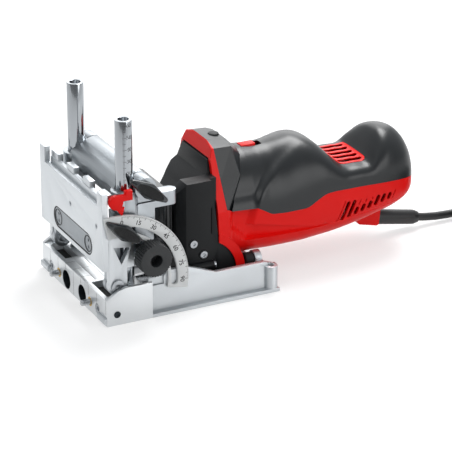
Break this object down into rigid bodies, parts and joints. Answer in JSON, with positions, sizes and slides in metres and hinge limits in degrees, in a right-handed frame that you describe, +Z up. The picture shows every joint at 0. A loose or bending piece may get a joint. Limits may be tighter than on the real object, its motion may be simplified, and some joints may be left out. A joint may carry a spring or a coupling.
{
  "type": "duo dowel joiner",
  "caption": "Twin-spindle dowel joiner with a sprung plunging motor unit, a rack-set height fence on columns, a tilting fence with an angle scale, and a mains cord.",
  "frame": {"origin": "underside of the base on the tool's mid-plane, below the axes of the height columns", "axes": "+X from the front working face to the rear end of the handle, +Y away from the side with the angle scale, +Z up"},
  "size_m": [0.4983, 0.1985, 0.166],
  "materials": {
    "machined_aluminium": "machined",
    "cast_aluminium": "cast, blasted",
    "steel": "ground",
    "chrome": "polished",
    "scale_white": "satin",
    "red_plastic": "semi-gloss moulded",
    "grey_plastic": "fine-textured grip",
    "black_plastic": "moulded",
    "knob_plastic": "textured",
    "brass": "turned",
    "winding": "copper winding and core plates",
    "rubber": "matte"
  },
  "bodies": {
    "base": {"front_block": "machined_aluminium", "base_frame": "cast_aluminium", "guide_columns": "steel", "return_springs": "steel", "height_column_near": "chrome", "height_column_far": "chrome", "stop_pin_bushes": "brass", "stop_pin_spring_near": "steel", "stop_pin_spring_far": "steel", "block_screws": "steel", "rear_buffers": "rubber"},
    "drive_unit": {"gear_housing": "black_plastic", "bearing_plate": "machined_aluminium", "spindle_nose": "black_plastic", "guide_bushes": "brass", "front_band": "red_plastic", "tower_cover": "grey_plastic", "upper_shell": "grey_plastic", "lower_shell": "red_plastic", "top_grille": "red_plastic", "motor_frame": "black_plastic", "stator": "winding", "motor_bearings": "steel", "spindle_bearings": "steel", "brush_holders": "brass", "housing_screws": "steel", "idler_shaft": "steel", "cord_boot": "rubber", "cord_lead": "rubber", "cord_coil": "rubber", "cord_tie": "rubber", "plug": "rubber"},
    "carriage": {"carriage": "machined_aluminium", "crossbar_caps": "machined_aluminium", "clamp_rod": "steel", "pointer": "red_plastic", "hinge_pins": "steel", "angle_bolt": "steel"},
    "fence": {"fence_plate": "machined_aluminium", "fence_rail": "machined_aluminium", "fence_cheek_near": "machined_aluminium", "fence_cheek_far": "machined_aluminium", "arc_scale": "scale_white", "inset_plate": "machined_aluminium", "fence_screws": "steel"},
    "height_lever": {"height_lever": "knob_plastic"},
    "angle_lever": {"angle_lever": "knob_plastic"},
    "handwheel": {"handwheel": "knob_plastic", "height_pinion": "steel"},
    "stop_pin_near": {"stop_pin_near": "steel"},
    "stop_pin_far": {"stop_pin_far": "steel"},
    "armature": {"armature": "winding", "motor_fan": "cast_aluminium", "motor_pinion": "steel"},
    "idler": {"idler_gear": "steel"},
    "spindle_near": {"spindle_near": "steel"},
    "spindle_far": {"spindle_far": "steel"},
    "switch_slider": {"switch_slider": "red_plastic"},
    "lock_button": {"lock_button": "black_plastic"}
  },
  "joints": [
    {"name": "plunge", "type": "slide", "parent": "base", "child": "drive_unit", "axis": [-1, 0, 0], "range_m": [0, 0.04], "stiffness_N_per_m": 400, "springref_m": -0.04, "deforming": ["return_springs"]},
    {"name": "fence_height", "type": "slide", "parent": "base", "child": "carriage", "axis": [0, 0, 1], "range_m": [0, 0.05]},
    {"name": "fence_tilt", "type": "hinge", "parent": "carriage", "child": "fence", "pos_m": [-0.013, 0, 0.031], "axis": [0, -1, 0], "range_deg": [0, 90]},
    {"name": "handwheel_turn", "type": "hinge", "parent": "carriage", "child": "handwheel", "pos_m": [0.0124, -0.07, 0.0555], "axis": [0, -1, 0], "range_deg": [0, 448]},
    {"name": "height_lever_turn", "type": "hinge", "parent": "carriage", "child": "height_lever", "pos_m": [0.0135, -0.062, 0.1092], "axis": [0, 1, 0], "range_deg": [0, 70]},
    {"name": "angle_lever_turn", "type": "hinge", "parent": "carriage", "child": "angle_lever", "pos_m": [-0.0096, -0.068, 0.07968], "axis": [0, -1, 0], "range_deg": [0, 55]},
    {"name": "stop_pin_near_push", "type": "slide", "parent": "base", "child": "stop_pin_near", "axis": [1, 0, 0], "range_m": [0, 0.008], "stiffness_N_per_m": 300, "springref_m": -0.004, "deforming": ["stop_pin_spring_near"]},
    {"name": "stop_pin_far_push", "type": "slide", "parent": "base", "child": "stop_pin_far", "axis": [1, 0, 0], "range_m": [0, 0.008], "stiffness_N_per_m": 300, "springref_m": -0.004, "deforming": ["stop_pin_spring_far"]},
    {"name": "armature_spin", "type": "hinge", "parent": "drive_unit", "child": "armature", "pos_m": [0.145, 0, 0.05948], "axis": [1, 0, 0], "continuous": true},
    {"name": "idler_spin", "type": "hinge", "parent": "drive_unit", "child": "idler", "pos_m": [0.07, 0, 0.03148], "axis": [1, 0, 0], "continuous": true},
    {"name": "spindle_near_spin", "type": "hinge", "parent": "drive_unit", "child": "spindle_near", "pos_m": [0.035, -0.016, 0.0085], "axis": [1, 0, 0], "continuous": true},
    {"name": "spindle_far_spin", "type": "hinge", "parent": "drive_unit", "child": "spindle_far", "pos_m": [0.035, 0.016, 0.0085], "axis": [1, 0, 0], "continuous": true},
    {"name": "switch_slide", "type": "slide", "parent": "drive_unit", "child": "switch_slider", "axis": [1, 0, 0], "range_m": [0, 0.005]},
    {"name": "lock_button_push", "type": "slide", "parent": "drive_unit", "child": "lock_button", "axis": [0, 0, -1], "range_m": [0, 0.003], "stiffness_N_per_m": 400, "springref_m": -0.002}
  ],
  "couplings": [
    {"joint": "handwheel_turn", "follows": "fence_height", "rad_per_m": 156.25},
    {"joint": "idler_spin", "follows": "armature_spin", "ratio": -0.27273},
    {"joint": "spindle_near_spin", "follows": "armature_spin", "ratio": 1},
    {"joint": "spindle_far_spin", "follows": "armature_spin", "ratio": 1}
  ]
}
